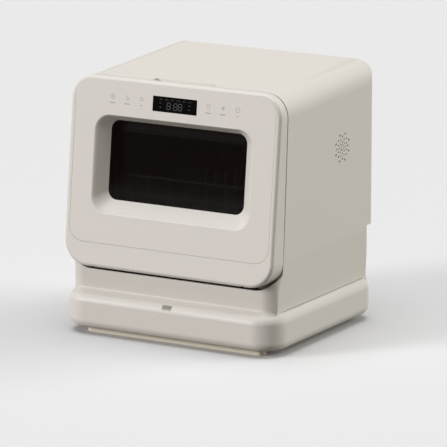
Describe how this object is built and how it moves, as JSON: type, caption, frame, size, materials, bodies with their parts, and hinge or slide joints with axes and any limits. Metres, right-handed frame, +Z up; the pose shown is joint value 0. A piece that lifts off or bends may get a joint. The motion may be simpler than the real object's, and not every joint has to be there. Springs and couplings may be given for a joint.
{
  "type": "countertop dishwasher",
  "caption": "Compact countertop dishwasher with a leaning drop-down door, a window, a wire rack and spray arms, standing on a wide rounded plinth.",
  "frame": {"origin": "on the floor under the middle of the plinth", "axes": "+Z up, -Y towards the user in front of the door, +X to the user's right"},
  "size_m": [0.432, 0.376, 0.4666],
  "materials": {
    "white_plastic": "satin moulded shell",
    "grey_plastic": "moulded",
    "liner_plastic": "moulded",
    "coated_wire": "plastic-coated steel wire",
    "steel": "stainless",
    "motor_metal": "satin",
    "soft_rubber": "matte",
    "foot_rubber": "matte",
    "glass": "dark tinted",
    "clear_glass": "clear",
    "display_black": "polished",
    "smoked_plastic": "translucent",
    "socket_black": "moulded",
    "board": "lacquered laminate"
  },
  "bodies": {
    "cabinet": {"base_plinth": "white_plastic", "base_plate": "grey_plastic", "base_screws": "steel", "status_lens": "smoked_plastic", "front_foot_rail": "foot_rubber", "rear_foot_rail": "foot_rubber", "cabinet_shell": "white_plastic", "rear_cover": "grey_plastic", "rear_cover_screws": "steel", "tub": "steel", "door_seal": "soft_rubber", "rack_runners": "grey_plastic", "sump": "grey_plastic", "filter_plate": "grey_plastic", "spray_hub": "grey_plastic", "spray_arm_cap": "grey_plastic", "upper_feed_pipe": "grey_plastic", "upper_arm_cap": "grey_plastic", "riser_pipe": "grey_plastic", "pump_volute": "grey_plastic", "pump_motor": "motor_metal", "motor_mount": "grey_plastic", "drain_pump": "grey_plastic", "drain_motor": "motor_metal", "heater": "steel", "heater_clips": "steel", "suction_hose": "soft_rubber", "drain_hose": "soft_rubber", "inlet_hose": "soft_rubber", "service_panel": "grey_plastic", "inlet_valve": "grey_plastic", "drain_outlet": "grey_plastic", "mains_inlet": "socket_black", "fan_housing": "grey_plastic", "vent_duct": "grey_plastic", "control_tray": "grey_plastic", "control_board": "board", "latch_housing": "grey_plastic", "hinge_arms": "steel", "hinge_pins": "steel"},
    "door": {"door_frame": "white_plastic", "front_panel": "white_plastic", "window_glass": "glass", "display_window": "display_black", "touch_board": "board", "door_liner": "liner_plastic", "inner_pane": "clear_glass", "detergent_cup": "grey_plastic", "latch_tongue": "grey_plastic", "door_screws": "steel"},
    "rack": {"dish_rack": "coated_wire", "rack_glides": "grey_plastic", "cutlery_basket": "grey_plastic"},
    "lower_arm": {"lower_spray_arm": "grey_plastic"},
    "upper_arm": {"upper_spray_arm": "grey_plastic"},
    "filter": {"filter_basket": "grey_plastic"},
    "pump_rotor": {"pump_impeller": "grey_plastic"},
    "drain_rotor": {"drain_impeller": "grey_plastic"},
    "fan_rotor": {"fan_impeller": "grey_plastic"}
  },
  "joints": [
    {"name": "door_hinge", "type": "hinge", "parent": "cabinet", "child": "door", "pos_m": [0, -0.17842, 0.13197], "axis": [1, 0, 0], "range_deg": [0, 90]},
    {"name": "rack_slide", "type": "slide", "parent": "cabinet", "child": "rack", "axis": [0, -1, 0], "range_m": [0, 0.13352]},
    {"name": "filter_twist", "type": "hinge", "parent": "cabinet", "child": "filter", "pos_m": [0, -0.084, 0.15], "axis": [0, 0, 1], "range_deg": [0, 90]},
    {"name": "lower_arm_spin", "type": "hinge", "parent": "cabinet", "child": "lower_arm", "pos_m": [0, 0.008, 0.196], "axis": [0, 0, 1], "continuous": true},
    {"name": "upper_arm_spin", "type": "hinge", "parent": "cabinet", "child": "upper_arm", "pos_m": [0, 0.008, 0.397], "axis": [0, 0, 1], "continuous": true},
    {"name": "pump_spin", "type": "hinge", "parent": "cabinet", "child": "pump_rotor", "pos_m": [0, 0.008, 0.112], "axis": [1, 0, 0], "continuous": true},
    {"name": "drain_spin", "type": "hinge", "parent": "cabinet", "child": "drain_rotor", "pos_m": [-0.057, -0.084, 0.132], "axis": [1, 0, 0], "continuous": true},
    {"name": "fan_spin", "type": "hinge", "parent": "cabinet", "child": "fan_rotor", "pos_m": [0.1936, 0.063, 0.329], "axis": [1, 0, 0], "continuous": true}
  ],
  "couplings": [
    {"joint": "rack_slide", "follows": "door_hinge", "m_per_rad": 0.085}
  ]
}
